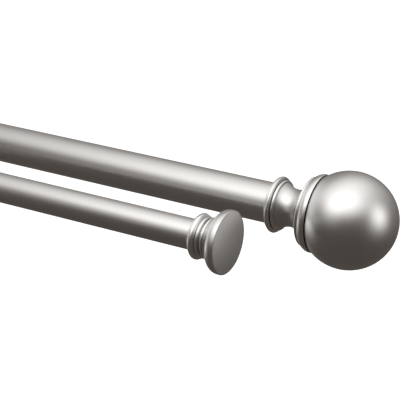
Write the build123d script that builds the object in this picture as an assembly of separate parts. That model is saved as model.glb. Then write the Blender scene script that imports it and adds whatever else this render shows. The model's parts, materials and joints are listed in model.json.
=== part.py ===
from build123d import *
import math
import os

# Double telescoping curtain rod on two wall brackets, in millimetres.
# X runs along the rods, +Y points into the wall and +Z is up. The origin is the centre of the four
# wall screw holes, on the face of the wall. The room is towards -Y, and left (-X) is left as seen
# from the room.

# Layout of the set
BRACKET_SPACING = 584.0     # between the two brackets
OVERHANG = 240.7            # front rod beyond the left bracket
BACK_PROJECTION = 88.9      # wall to the back rod's axis
ROD_SPACING = 63.5          # back rod's axis to the front rod's axis
BACK_SETBACK = 17.9         # back rod's end short of the front rod's end
DRAWN_OUT = 150.0           # inner tubes standing out of the outer ones

# Tubes
FRONT_OD = 25.4
FRONT_INNER_OD = 22.2
FRONT_LENGTH = 915.4
FRONT_INNER_LENGTH = 878.0
BACK_OD = 18.5
BACK_INNER_OD = 15.3
BACK_LENGTH = 879.6
BACK_INNER_LENGTH = 844.0
TUBE_WALL = 0.8
MOUTH_CLEARANCE = 0.3       # rolled mouth of an outer tube round its inner tube
MOUTH_LENGTH = 3.0
MOUTH_ROUND = 0.7
GLIDE_LENGTH = 20.0
GLIDE_FLANGE = 1.5
RUN_CLEARANCE = 0.08        # radial clearance of everything that slides or turns in a bore

# Ball finial: distances run outwards from the tube's end, steps are from the front tube's surface
FOOT_RING_STEP = 3.2        # thin ring against the tube's end
FOOT_RING_WIDTH = 1.0
FOOT_RING_DIP = 0.35        # how far the foot ring's two sides fall below its crest
BEAD_STEP = 4.75
BEAD_WIDTH = 2.9
BEAD_END_STEP = 2.9
RING_STEP = 3.0
RING_WIDTH = 2.3
RING_END_STEP = 1.9
NECK_TOP_STEP = 1.5         # where the spool starts beside the collar's ring
NECK_STEP = -1.0            # the waist is thinner than the tube
NECK_WAIST = 7.4            # from the collar's ring to the waist
NECK_FLARE = 9.3            # from the waist to the cup
CUP_FOOT_STEP = 4.9
STEP_RING_STEP = 8.8
STEP_RING_WIDTH = 1.9
STEP_RING_DIP = 1.0         # how far the step ring's two sides fall below its crest
BAND_FOOT_STEP = 8.6
BAND_STEP = 11.1
BAND_WIDTH = 5.9
LIP_STEP = 11.1
LIP_EDGE = 0.35
BALL_DIAMETER = 59.0
BALL_WALL = 1.2
BALL_BASE = 2.0             # thickness of the ball's flat base
BALL_GAP = 0.45             # shadow gap between the ball and the cup's lip
BALL_SEAT_RADIUS = 8.0
FINIAL_STUD_DIAMETER = 6.0
FINIAL_STUD_GRIP = 16.0     # stud inside the tube's plug
NUT_FLATS = 10.0
NUT_HEIGHT = 5.0
PLUG_LENGTH = 24.0
PLUG_RECESS = 0.3
END_GAP = 0.1               # collar's face to the tube's end

# Back rod cap: steps are from the back tube's surface
CAP_FOOT_STEP = 2.5         # thin ring against the tube's end
CAP_FOOT_WIDTH = 0.9
CAP_FOOT_DIP = 0.3          # how far that ring's two sides fall below its crest
CAP_BEAD_STEP = 4.5
CAP_BEAD_WIDTH = 4.1
CAP_BEAD_END_STEP = 2.4
CAP_RING_STEP = 3.15
CAP_RING_WIDTH = 2.4
CAP_GROOVE_STEP = 1.5
CAP_GROOVE_WIDTH = 1.1
CAP_FILLET_STEP = 3.2       # ring at the foot of the flare
CAP_FILLET_WIDTH = 1.7
CAP_FILLET_DIP = 0.6        # how far that ring's two sides fall below its crest
CAP_FLARE_WIDTH = 4.1
CAP_FLARE_SAG = 0.35        # how far the flare is hollowed below a straight cone
CAP_SHOULDER_STEP = 7.15    # where the flare rounds over into the shoulder
CAP_SHOULDER_WIDTH = 5.0
CAP_RIM_STEP = 9.7
CAP_RIM_WIDTH = 1.8
CAP_RIM_ROUND = 0.6
CAP_CROWN = 3.0
CAP_SHANK_DIAMETER = 9.0
CAP_SHANK_LENGTH = 24.0
SLEEVE_RIBS = 4
SLEEVE_RIB_DEPTH = 0.8

# Brackets
PLATE_WIDTH = 28.0
PLATE_HEIGHT = 88.0
PLATE_THICKNESS = 5.0
PLATE_STEP_DEPTH = 2.0      # height of the raised panel on the plate
PLATE_STEP_INSET = 2.6
PLATE_EDGE = 0.9
SCREW_SPACING = 60.0
WALL_SCREW_HOLE = 5.0
WALL_SCREW_HEAD = 9.4
ARM_DIAMETER = 12.7
ARM_FOOT_RADIUS = 13.0
ARM_FOOT_WIDTH = 3.6
ARM_RING_RADIUS = 10.4
ARM_RING_WIDTH = 2.2
ARM_COVE_WIDTH = 8.0
ARM_NOSE = 19.5             # arm's tip beyond the front rod's axis
ARM_NOSE_RADIUS = 8.0
ARM_NOSE_BEAD = 3.2
CUP_WALL = 2.6
CUP_WIDTH = 16.0
CUP_LIP = 7.0               # cup's straight sides above the rod's axis
CUP_EDGE = 0.7
CUP_CLEARANCE = 0.3
CUP_SEAT_GAP = 0.1
POST_HEIGHT = 5.0           # front cup's post above the arm
POST_RADIUS = 6.2
POST_WAIST = 4.6
BOSS_RADIUS = 5.0
BOSS_LENGTH = 3.6

# Thumbscrews and fasteners
THUMB_STUD_DIAMETER = 4.0
THUMB_TIP_GAP = 0.15
THUMB_TIP_TAPER = 0.9
KNOB_DIAMETER = 13.0
KNOB_LENGTH = 7.0
KNOB_HUB_DIAMETER = 8.4
KNOB_HUB_LENGTH = 1.6
KNOB_STANDOFF = 2.6         # knob's hub to the cup's boss
KNOB_ROUND = 0.9
KNOB_FLUTES = 12
KNOB_FLUTE_RADIUS = 1.3
KNOB_FLUTE_DEPTH = 0.6
KNOB_CAP_WALL = 1.6
CUP_SCREW_DIAMETER = 4.0
CUP_SCREW_HEAD = 7.0
CUP_SCREW_HEAD_HEIGHT = 2.0
CUP_SCREW_GRIP = 5.5        # screw inside the cup's post
ARM_SCREW_DIAMETER = 5.0
ARM_SCREW_HEAD = 9.2
ARM_SCREW_GRIP = 12.0
SCREW_CLEARANCE = 0.1
HEAD_SINK = 0.2             # screw heads lie below the surface that they sink into
SOCKET_FLATS = 2.5
SOCKET_DEPTH = 1.2

# Places that follow from the sizes above
FRONT_R = FRONT_OD / 2
FRONT_INNER_R = FRONT_INNER_OD / 2
BACK_R = BACK_OD / 2
BACK_INNER_R = BACK_INNER_OD / 2
ARM_R = ARM_DIAMETER / 2
FRONT_CUP_R = FRONT_R + CUP_CLEARANCE
BACK_CUP_R = BACK_R + CUP_CLEARANCE
CUP_RISE = CUP_CLEARANCE - CUP_SEAT_GAP
ROD_Z = ARM_R + POST_HEIGHT + CUP_WALL + FRONT_CUP_R - CUP_RISE
BACK_Y = -BACK_PROJECTION
FRONT_Y = BACK_Y - ROD_SPACING
FRONT_LEFT = -BRACKET_SPACING / 2 - OVERHANG
FRONT_MOUTH = FRONT_LEFT + FRONT_LENGTH
FRONT_RIGHT = FRONT_MOUTH + DRAWN_OUT
BACK_LEFT = FRONT_LEFT + BACK_SETBACK
BACK_MOUTH = BACK_LEFT + BACK_LENGTH
BACK_RIGHT = BACK_MOUTH + DRAWN_OUT
SIDES = {"left": -1, "right": 1}

nodes = {}


class Turning:
    """Half outline of a turned piece, drawn as (distance along its axis, radius) points."""

    def __init__(self, along, radius):
        self.point = (along, radius)
        self.edges = []

    def line(self, along, radius):
        self.edges.append(Line(self.point, (along, radius)))
        self.point = (along, radius)
        return self

    def arc(self, via, along, radius):
        self.edges.append(ThreePointArc(self.point, via, (along, radius)))
        self.point = (along, radius)
        return self

    def bead(self, along, radius, top):
        """A rounded bead or ring whose crest, at radius top, is halfway to the end point."""
        return self.arc(((self.point[0] + along) / 2, top), along, radius)

    def hollow(self, along, radius):
        """A cove that comes in from a larger radius and ends level with the axis."""
        end = (along, radius)
        return self.arc(level_arc_middle(end, self.point), *end)

    def flare(self, along, radius):
        """A cove that starts level with the axis and climbs to a larger radius."""
        end = (along, radius)
        return self.arc(level_arc_middle(self.point, end), *end)

    def shoulder(self, along, radius):
        """A round shoulder that climbs from a smaller radius and ends level with the axis."""
        middle, below = level_arc_middle((along, -radius), (self.point[0], -self.point[1]))
        return self.arc((middle, -below), along, radius)

    def solid(self):
        """Turns the closed outline about its axis, which becomes X."""
        return revolve(make_face(self.edges), Axis.X)


def level_arc_middle(low, far):
    """Middle of the arc that runs level through low, its lowest point, and ends at far."""
    run = far[0] - low[0]
    rise = far[1] - low[1]
    radius = (run**2 + rise**2) / (2 * rise)
    half_turn = math.atan2(run, radius - rise) / 2
    return (low[0] + radius * math.sin(half_turn), low[1] + radius * (1 - math.cos(half_turn)))


def ring(start, end, inner, outer):
    """A plain turned ring or sleeve."""
    outline = Turning(start, inner).line(end, inner).line(end, outer).line(start, outer)
    return outline.line(start, inner).solid()


def rod(start, end, radius):
    """A plain turned bar."""
    outline = Turning(start, 0).line(end, 0).line(end, radius).line(start, radius)
    return outline.line(start, 0).solid()


def outwards(side, x, y):
    """Place of a piece turned along X that points out of a rod's end."""
    return Location((x, y, ROD_Z), (0, 0, 0 if side > 0 else 180))


def away_from_wall(side):
    """Place of a piece turned along X that points from the wall into the room."""
    return Location((side * BRACKET_SPACING / 2, 0, 0), (0, 0, -90))


def upwards(side, y, z):
    """Place of a piece turned along X that points up, on a bracket."""
    return Location((side * BRACKET_SPACING / 2, y, z), (0, -90, 0))


def towards_wall(side, y):
    """Place of a piece turned along X that points from a rod's axis to the wall."""
    return Location((side * BRACKET_SPACING / 2, y, ROD_Z), (0, 0, 90))


def hex_prism(flats, start, end):
    """A six-sided bar along X."""
    face = Plane.YZ.offset(start) * RegularPolygon(flats / 2, 6, major_radius=False)
    return extrude(face, amount=end - start)


def outer_tube(length, radius, inner_radius):
    """Tube from X = 0 to length, with its far mouth rolled in round the inner tube."""
    bore = radius - TUBE_WALL
    mouth = inner_radius + MOUTH_CLEARANCE
    outline = Turning(0, bore).line(0, radius).line(length - MOUTH_ROUND, radius)
    corner = MOUTH_ROUND * (1 - math.sqrt(0.5))
    outline.arc((length - corner, radius - corner), length, radius - MOUTH_ROUND)
    outline.line(length, mouth).line(length - MOUTH_LENGTH + TUBE_WALL, mouth)
    return outline.line(length - MOUTH_LENGTH, bore).line(0, bore).solid()


def glide(inner_radius, bore):
    """Nylon ring round the inner tube's hidden end, from X = 0, with a flange over the cut edge."""
    outside = bore - RUN_CLEARANCE
    outline = Turning(0, inner_radius).line(GLIDE_LENGTH, inner_radius).line(GLIDE_LENGTH, outside)
    outline.line(-GLIDE_FLANGE, outside).line(-GLIDE_FLANGE, inner_radius - TUBE_WALL)
    return outline.line(0, inner_radius - TUBE_WALL).line(0, inner_radius).solid()


def make_rods():
    """The two pairs of telescoping tubes with their glides."""
    radii = {"front": (FRONT_R, FRONT_INNER_R), "back": (BACK_R, BACK_INNER_R)}
    lengths = {"front": (FRONT_LENGTH, FRONT_INNER_LENGTH), "back": (BACK_LENGTH, BACK_INNER_LENGTH)}
    ends = {"front": (FRONT_LEFT, FRONT_RIGHT, FRONT_Y), "back": (BACK_LEFT, BACK_RIGHT, BACK_Y)}
    for name, (left, right, y) in ends.items():
        radius, inner_radius = radii[name]
        length, inner_length = lengths[name]
        hidden_end = Location((right - inner_length, y, ROD_Z))
        inner_tube = ring(0, inner_length, inner_radius - TUBE_WALL, inner_radius)
        nodes[f"{name}_outer_tube"] = Location((left, y, ROD_Z)) * outer_tube(length, radius, inner_radius)
        nodes[f"{name}_inner_tube"] = hidden_end * inner_tube
        nodes[f"{name}_glide"] = hidden_end * glide(inner_radius, radius - TUBE_WALL)


# Stations along the finial that more than one of its pieces uses
BEAD_END = END_GAP + FOOT_RING_WIDTH + BEAD_WIDTH
RING_END = BEAD_END + RING_WIDTH
WAIST = RING_END + NECK_WAIST
CUP_FOOT = WAIST + NECK_FLARE
BAND_START = CUP_FOOT + STEP_RING_WIDTH
LIP = BAND_START + BAND_WIDTH
LIP_RADIUS = FRONT_R + LIP_STEP
BALL_R = BALL_DIAMETER / 2
BALL_CENTRE = LIP + math.sqrt(BALL_R**2 - (LIP_RADIUS - LIP_EDGE - BALL_GAP) ** 2)
BALL_SEAT = BALL_CENTRE - math.sqrt(BALL_R**2 - BALL_SEAT_RADIUS**2)
NUT_SEAT = BALL_SEAT + BALL_BASE
FINIAL_BORE = FINIAL_STUD_DIAMETER / 2 + RUN_CLEARANCE


def finial_neck():
    """Turned neck: collar of foot ring, bead and ring, waisted spool, stepped cup that takes the ball."""
    hollow_radius = BALL_R + BALL_GAP
    lip_inside = LIP_RADIUS - LIP_EDGE
    hollow_start = BALL_CENTRE - math.sqrt(hollow_radius**2 - BALL_SEAT_RADIUS**2)
    hollow_end = BALL_CENTRE - math.sqrt(hollow_radius**2 - lip_inside**2)
    middle_radius = (BALL_SEAT_RADIUS + lip_inside) / 2
    hollow_middle = BALL_CENTRE - math.sqrt(hollow_radius**2 - middle_radius**2)
    foot_ring = FRONT_R + FOOT_RING_STEP
    step_ring = FRONT_R + STEP_RING_STEP
    outline = Turning(END_GAP, FINIAL_BORE).line(END_GAP, foot_ring - FOOT_RING_DIP)
    outline.bead(END_GAP + FOOT_RING_WIDTH, foot_ring - FOOT_RING_DIP, foot_ring)
    outline.bead(BEAD_END, FRONT_R + BEAD_END_STEP, FRONT_R + BEAD_STEP)
    outline.line(BEAD_END, FRONT_R + RING_END_STEP)
    outline.bead(RING_END, FRONT_R + RING_END_STEP, FRONT_R + RING_STEP)
    outline.line(RING_END, FRONT_R + NECK_TOP_STEP).hollow(WAIST, FRONT_R + NECK_STEP)
    outline.flare(CUP_FOOT, FRONT_R + CUP_FOOT_STEP)
    outline.line(CUP_FOOT, step_ring - STEP_RING_DIP)
    outline.bead(BAND_START, step_ring - STEP_RING_DIP, step_ring)
    outline.line(BAND_START, FRONT_R + BAND_FOOT_STEP)
    outline.bead(LIP, LIP_RADIUS, FRONT_R + BAND_STEP)
    outline.line(hollow_end, lip_inside)
    outline.arc((hollow_middle, middle_radius), hollow_start, BALL_SEAT_RADIUS)
    outline.line(BALL_SEAT, BALL_SEAT_RADIUS).line(BALL_SEAT, FINIAL_BORE)
    return outline.line(END_GAP, FINIAL_BORE).solid()


def finial_ball():
    """Hollow ball with a flat base that sits in the neck's cup."""
    inside = BALL_R - BALL_WALL
    base_radius = math.sqrt(inside**2 - (BALL_CENTRE - NUT_SEAT) ** 2)
    outline = Turning(BALL_SEAT, FINIAL_BORE).line(BALL_SEAT, BALL_SEAT_RADIUS)
    outline.arc((BALL_CENTRE, BALL_R), BALL_CENTRE + BALL_R, 0)
    outline.line(BALL_CENTRE + inside, 0)
    outline.arc((BALL_CENTRE, inside), NUT_SEAT, base_radius)
    return outline.line(NUT_SEAT, FINIAL_BORE).line(BALL_SEAT, FINIAL_BORE).solid()


def finial_nut():
    """Hexagon nut on the inside of the ball's base."""
    nut_end = NUT_SEAT + NUT_HEIGHT
    return hex_prism(NUT_FLATS, NUT_SEAT, nut_end) - rod(NUT_SEAT, nut_end, FINIAL_BORE)


def make_finials():
    """A ball finial, its stud and the tube's plug at each end of the front rod."""
    ends = {"left": (FRONT_LEFT, FRONT_R), "right": (FRONT_RIGHT, FRONT_INNER_R)}
    for side, (x, tube_radius) in ends.items():
        place = outwards(SIDES[side], x, FRONT_Y)
        nodes[f"{side}_finial_neck"] = place * finial_neck()
        nodes[f"{side}_finial_ball"] = place * finial_ball()
        nodes[f"{side}_finial_nut"] = place * finial_nut()
        stud = rod(-FINIAL_STUD_GRIP, NUT_SEAT + NUT_HEIGHT, FINIAL_STUD_DIAMETER / 2)
        nodes[f"{side}_finial_stud"] = place * stud
        plug = ring(-PLUG_LENGTH, -PLUG_RECESS, FINIAL_BORE, tube_radius - TUBE_WALL)
        nodes[f"{side}_tube_plug"] = place * plug


def cap_head():
    """Mushroom cap: foot ring, bead, ring, groove and fillet ring, flare, round shoulder, crowned face."""
    foot_end = END_GAP + CAP_FOOT_WIDTH
    bead_end = foot_end + CAP_BEAD_WIDTH
    ring_end = bead_end + CAP_RING_WIDTH
    groove_end = ring_end + CAP_GROOVE_WIDTH
    fillet_end = groove_end + CAP_FILLET_WIDTH
    flare_end = fillet_end + CAP_FLARE_WIDTH
    shoulder_end = flare_end + CAP_SHOULDER_WIDTH
    rim_end = shoulder_end + CAP_RIM_WIDTH
    foot = BACK_R + CAP_FOOT_STEP
    groove = BACK_R + CAP_GROOVE_STEP
    fillet = BACK_R + CAP_FILLET_STEP
    flare = BACK_R + CAP_SHOULDER_STEP
    rim_radius = BACK_R + CAP_RIM_STEP
    rim_start_radius = rim_radius - CAP_RIM_ROUND
    corner = CAP_RIM_ROUND * (1 - math.sqrt(0.5))
    flare_middle = ((fillet_end + flare_end) / 2, (fillet - CAP_FILLET_DIP + flare) / 2 - CAP_FLARE_SAG)
    crown_radius = (rim_start_radius**2 + CAP_CROWN**2) / (2 * CAP_CROWN)
    crown_middle = rim_end + CAP_CROWN - crown_radius
    crown_middle += math.sqrt(crown_radius**2 - rim_start_radius**2 / 4)
    shank = CAP_SHANK_DIAMETER / 2
    outline = Turning(-CAP_SHANK_LENGTH, 0).line(-CAP_SHANK_LENGTH, shank).line(END_GAP, shank)
    outline.line(END_GAP, foot - CAP_FOOT_DIP).bead(foot_end, foot - CAP_FOOT_DIP, foot)
    outline.bead(bead_end, BACK_R + CAP_BEAD_END_STEP, BACK_R + CAP_BEAD_STEP)
    outline.bead(ring_end, BACK_R + CAP_BEAD_END_STEP, BACK_R + CAP_RING_STEP)
    outline.line(ring_end, groove).line(groove_end, groove)
    outline.line(groove_end, fillet - CAP_FILLET_DIP).bead(fillet_end, fillet - CAP_FILLET_DIP, fillet)
    outline.arc(flare_middle, flare_end, flare).shoulder(shoulder_end, rim_radius)
    outline.line(rim_end - CAP_RIM_ROUND, rim_radius)
    outline.arc((rim_end - corner, rim_radius - corner), rim_end, rim_start_radius)
    outline.arc((crown_middle, rim_start_radius / 2), rim_end + CAP_CROWN, 0)
    return outline.line(-CAP_SHANK_LENGTH, 0).solid()


def cap_sleeve(bore):
    """Nylon sleeve on the cap's shank, with ribs that grip the tube's bore."""
    shank = CAP_SHANK_DIAMETER / 2
    crest = bore - RUN_CLEARANCE
    core = crest - SLEEVE_RIB_DEPTH
    pitch = CAP_SHANK_LENGTH / (SLEEVE_RIBS + 1)
    outline = Turning(-CAP_SHANK_LENGTH, shank).line(-CAP_SHANK_LENGTH, core)
    for rib in range(SLEEVE_RIBS):
        foot = -CAP_SHANK_LENGTH + pitch * (rib + 0.25)
        outline.line(foot, core).line(foot + pitch / 2, crest).line(foot + pitch / 2, core)
    outline.line(-END_GAP, core).line(-END_GAP, shank)
    return outline.line(-CAP_SHANK_LENGTH, shank).solid()


def make_caps():
    """A cap with its sleeve at each end of the back rod."""
    ends = {"left": (BACK_LEFT, BACK_R), "right": (BACK_RIGHT, BACK_INNER_R)}
    for side, (x, tube_radius) in ends.items():
        place = outwards(SIDES[side], x, BACK_Y)
        nodes[f"{side}_cap"] = place * cap_head()
        nodes[f"{side}_cap_sleeve"] = place * cap_sleeve(tube_radius - TUBE_WALL)


def stadium(width, height):
    """Outline of the wall plate, with full round ends above and below, seen from the room."""
    return Plane.XZ * SlotOverall(height, width, rotation=90)


def sunk_hole(head, hole, thickness):
    """Cutter along X for a countersunk screw whose head sinks in at X = 0."""
    depth = (head - hole) / 2
    outline = Turning(0, 0).line(0, head / 2).line(depth, hole / 2).line(thickness, hole / 2)
    return outline.line(thickness, 0).line(0, 0).solid()


def wall_plate(side):
    """Stepped plate with rounded ends, two screw holes and a hole for the arm's screw."""
    x = side * BRACKET_SPACING / 2
    base = extrude(stadium(PLATE_WIDTH, PLATE_HEIGHT), amount=PLATE_THICKNESS - PLATE_STEP_DEPTH)
    base = fillet(base.faces().sort_by(Axis.Y)[0].edges(), PLATE_EDGE)
    panel = stadium(PLATE_WIDTH - 2 * PLATE_STEP_INSET, PLATE_HEIGHT - 2 * PLATE_STEP_INSET)
    panel = extrude(panel, amount=PLATE_THICKNESS)
    panel = fillet(panel.faces().sort_by(Axis.Y)[0].edges(), PLATE_EDGE)
    plate = base + panel
    wall_hole = sunk_hole(WALL_SCREW_HEAD, WALL_SCREW_HOLE, PLATE_THICKNESS)
    for end in (-1, 1):
        plate -= Location((0, -PLATE_THICKNESS, end * SCREW_SPACING / 2), (0, 0, 90)) * wall_hole
    arm_hole = sunk_hole(ARM_SCREW_HEAD + 2 * HEAD_SINK + 2 * SCREW_CLEARANCE,
                         ARM_SCREW_DIAMETER + 2 * SCREW_CLEARANCE, PLATE_THICKNESS)
    plate -= Rot(0, 0, -90) * arm_hole
    return Location((x, 0, 0)) * plate


def bracket_arm():
    """Turned arm from the wall plate's face, with a beaded foot and a beaded, domed nose."""
    front = -FRONT_Y
    foot_end = PLATE_THICKNESS + ARM_FOOT_WIDTH
    ring_end = foot_end + ARM_RING_WIDTH
    cove_end = ring_end + ARM_COVE_WIDTH
    tip = front + ARM_NOSE
    bead_start = tip - ARM_NOSE_BEAD - ARM_R
    bead_end = tip - ARM_R
    dome_middle = ARM_R * math.sqrt(0.5)
    screw_end = PLATE_THICKNESS + ARM_SCREW_GRIP
    hole = ARM_SCREW_DIAMETER / 2 + SCREW_CLEARANCE
    outline = Turning(PLATE_THICKNESS, hole).line(PLATE_THICKNESS, ARM_FOOT_RADIUS - ARM_FOOT_WIDTH / 2)
    outline.bead(foot_end, ARM_FOOT_RADIUS - ARM_FOOT_WIDTH / 2, ARM_FOOT_RADIUS)
    outline.line(foot_end, ARM_RING_RADIUS - ARM_RING_WIDTH / 4)
    outline.bead(ring_end, ARM_RING_RADIUS - ARM_RING_WIDTH / 4, ARM_RING_RADIUS)
    outline.hollow(cove_end, ARM_R).line(bead_start, ARM_R)
    outline.bead(bead_end, ARM_R, ARM_NOSE_RADIUS)
    outline.arc((bead_end + dome_middle, dome_middle), tip, 0)
    arm = outline.line(screw_end, 0).line(screw_end, hole).line(PLATE_THICKNESS, hole).solid()
    return arm - cup_screw_holes()


def cup_screw_holes():
    """Cutters through the arm, which lies along X here, for the screws of both cups."""
    head_top = -ARM_R + CUP_SCREW_HEAD_HEIGHT + HEAD_SINK
    head_room = rod(-2 * ARM_R, head_top, CUP_SCREW_HEAD / 2 + SCREW_CLEARANCE)
    shank_room = rod(head_top, 2 * ARM_R, CUP_SCREW_DIAMETER / 2 + SCREW_CLEARANCE)
    stand = Rot(0, -90, 0) * (head_room + shank_room)
    return Location((-FRONT_Y, 0, 0)) * stand + Location((-BACK_Y, 0, 0)) * stand


def rod_cup(cup_radius):
    """Open-topped cup round a rod whose axis is X, with a post down to the arm and a thumbscrew boss."""
    outer = cup_radius + CUP_WALL
    lip = CUP_LIP - CUP_RISE
    round_top = (cup_radius + outer) / 2
    crest = lip + CUP_WALL / 2
    outline = [
        Line((-outer, 0), (-outer, lip)),
        ThreePointArc((-outer, lip), (-round_top, crest), (-cup_radius, lip)),
        Line((-cup_radius, lip), (-cup_radius, 0)),
        ThreePointArc((-cup_radius, 0), (0, -cup_radius), (cup_radius, 0)),
        Line((cup_radius, 0), (cup_radius, lip)),
        ThreePointArc((cup_radius, lip), (round_top, crest), (outer, lip)),
        Line((outer, lip), (outer, 0)),
        ThreePointArc((outer, 0), (0, -outer), (-outer, 0)),
    ]
    cup = extrude(Plane.YZ * make_face(outline), amount=CUP_WIDTH / 2, both=True)
    cup = fillet(cup.faces().filter_by(Axis.X).edges(), CUP_EDGE)
    cup = Location((0, 0, CUP_RISE)) * cup
    return cup + cup_post(cup_radius) + cup_boss(cup_radius) - cup_bores(cup_radius)


def cup_post(cup_radius):
    """Waisted post under the cup, shaped to sit on the round arm."""
    top = CUP_RISE - cup_radius - CUP_WALL / 2
    bottom = -ROD_Z
    shoulder = bottom + ARM_R
    middle = (CUP_RISE - cup_radius - CUP_WALL + shoulder) / 2
    outline = Turning(bottom, 0).line(bottom, POST_RADIUS).line(shoulder, POST_RADIUS)
    outline.arc((middle, POST_WAIST), top, POST_RADIUS)
    post = Rot(0, -90, 0) * outline.line(top, 0).line(bottom, 0).solid()
    arm_room = Location((0, -POST_RADIUS, -ROD_Z), (0, 0, 90)) * rod(-ARM_R, 3 * POST_RADIUS, ARM_R)
    return post - arm_room


def cup_boss(cup_radius):
    """Boss on the wall's side of the cup, round the thumbscrew."""
    start = cup_radius + CUP_WALL / 2
    return Rot(0, 0, 90) * rod(start, cup_radius + CUP_WALL + BOSS_LENGTH, BOSS_RADIUS)


def cup_bores(cup_radius):
    """Cutters for the thumbscrew's hole and for the screw in the post."""
    outside = cup_radius + CUP_WALL + BOSS_LENGTH
    thumb_hole = Rot(0, 0, 90) * rod(cup_radius / 2, outside, THUMB_STUD_DIAMETER / 2 + RUN_CLEARANCE)
    grip_end = -ROD_Z + ARM_R + CUP_SCREW_GRIP + SCREW_CLEARANCE
    post_hole = rod(-ROD_Z, grip_end, CUP_SCREW_DIAMETER / 2 + SCREW_CLEARANCE)
    return thumb_hole + Rot(0, -90, 0) * post_hole


def make_brackets():
    """Both brackets: wall plates, arms and cups."""
    for side, sign in SIDES.items():
        x = sign * BRACKET_SPACING / 2
        nodes[f"{side}_wall_plate"] = wall_plate(sign)
        nodes[f"{side}_arm"] = away_from_wall(sign) * bracket_arm()
        nodes[f"{side}_front_cup"] = Location((x, FRONT_Y, ROD_Z)) * rod_cup(FRONT_CUP_R)
        nodes[f"{side}_back_cup"] = Location((x, BACK_Y, ROD_Z)) * rod_cup(BACK_CUP_R)


def thumb_knob(start):
    """Fluted knob along X from its hub at start, closed at its outer end."""
    hub = KNOB_HUB_DIAMETER / 2
    radius = KNOB_DIAMETER / 2
    bore = THUMB_STUD_DIAMETER / 2 + RUN_CLEARANCE
    body_start = start + KNOB_HUB_LENGTH
    end = body_start + KNOB_LENGTH
    corner = KNOB_ROUND * (1 - math.sqrt(0.5))
    outline = Turning(start, bore).line(start, hub).line(body_start, hub)
    outline.line(body_start, radius - KNOB_ROUND)
    outline.arc((body_start + corner, radius - corner), body_start + KNOB_ROUND, radius)
    outline.line(end - KNOB_ROUND, radius)
    outline.arc((end - corner, radius - corner), end, radius - KNOB_ROUND).line(end, 0)
    outline.line(end - KNOB_CAP_WALL, 0).line(end - KNOB_CAP_WALL, bore)
    knob = outline.line(start, bore).solid()
    flute_centre = radius + KNOB_FLUTE_RADIUS - KNOB_FLUTE_DEPTH
    for flute in range(KNOB_FLUTES):
        turn = math.radians(360 * flute / KNOB_FLUTES)
        place = Location((0, flute_centre * math.cos(turn), flute_centre * math.sin(turn)))
        knob -= place * rod(body_start, end, KNOB_FLUTE_RADIUS)
    return knob


def thumb_stud(rod_radius, end):
    """Threaded stud along X, from its tapered tip beside the rod into the knob."""
    tip = rod_radius + THUMB_TIP_GAP
    radius = THUMB_STUD_DIAMETER / 2
    outline = Turning(tip, 0).line(tip, radius - THUMB_TIP_TAPER).line(tip + THUMB_TIP_TAPER, radius)
    return outline.line(end, radius).line(end, 0).line(tip, 0).solid()


def make_thumbscrews():
    """A thumbscrew on each cup: the stud and the knob on its end."""
    rods = {"front": (FRONT_R, FRONT_CUP_R, FRONT_Y), "back": (BACK_R, BACK_CUP_R, BACK_Y)}
    for side, sign in SIDES.items():
        for name, (rod_radius, cup_radius, y) in rods.items():
            place = towards_wall(sign, y)
            hub = cup_radius + CUP_WALL + BOSS_LENGTH + KNOB_STANDOFF
            stud_end = hub + KNOB_HUB_LENGTH + KNOB_LENGTH - KNOB_CAP_WALL - END_GAP
            nodes[f"{side}_{name}_knob"] = place * thumb_knob(hub)
            nodes[f"{side}_{name}_stud"] = place * thumb_stud(rod_radius, stud_end)


def arm_screw():
    """Countersunk screw along X, from behind the wall plate into the arm."""
    head = ARM_SCREW_HEAD / 2
    shank = ARM_SCREW_DIAMETER / 2
    end = PLATE_THICKNESS + ARM_SCREW_GRIP - SCREW_CLEARANCE
    outline = Turning(HEAD_SINK, 0).line(HEAD_SINK, head).line(HEAD_SINK + head - shank, shank)
    screw = outline.line(end, shank).line(end, 0).line(HEAD_SINK, 0).solid()
    return screw - hex_prism(SOCKET_FLATS, HEAD_SINK, HEAD_SINK + SOCKET_DEPTH)


def cup_screw():
    """Cap screw along X, from the underside of the arm up into a cup's post."""
    start = -ARM_R + HEAD_SINK
    head_end = start + CUP_SCREW_HEAD_HEIGHT
    end = ARM_R + CUP_SCREW_GRIP
    outline = Turning(start, 0).line(start, CUP_SCREW_HEAD / 2).line(head_end, CUP_SCREW_HEAD / 2)
    outline.line(head_end, CUP_SCREW_DIAMETER / 2).line(end, CUP_SCREW_DIAMETER / 2)
    screw = outline.line(end, 0).line(start, 0).solid()
    return screw - hex_prism(SOCKET_FLATS, start, start + SOCKET_DEPTH)


def make_screws():
    """The screws of both brackets, with like screws in one group."""
    signs = SIDES.values()
    nodes["arm_screws"] = Compound([away_from_wall(sign) * arm_screw() for sign in signs])
    cup_places = [upwards(sign, y, 0) for sign in signs for y in (FRONT_Y, BACK_Y)]
    nodes["cup_screws"] = Compound([place * cup_screw() for place in cup_places])


def main():
    make_rods()
    make_finials()
    make_caps()
    make_brackets()
    make_thumbscrews()
    make_screws()
    os.makedirs("parts", exist_ok=True)
    for name, shape in nodes.items():
        export_step(shape, f"parts/{name}.step")


main()
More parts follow.
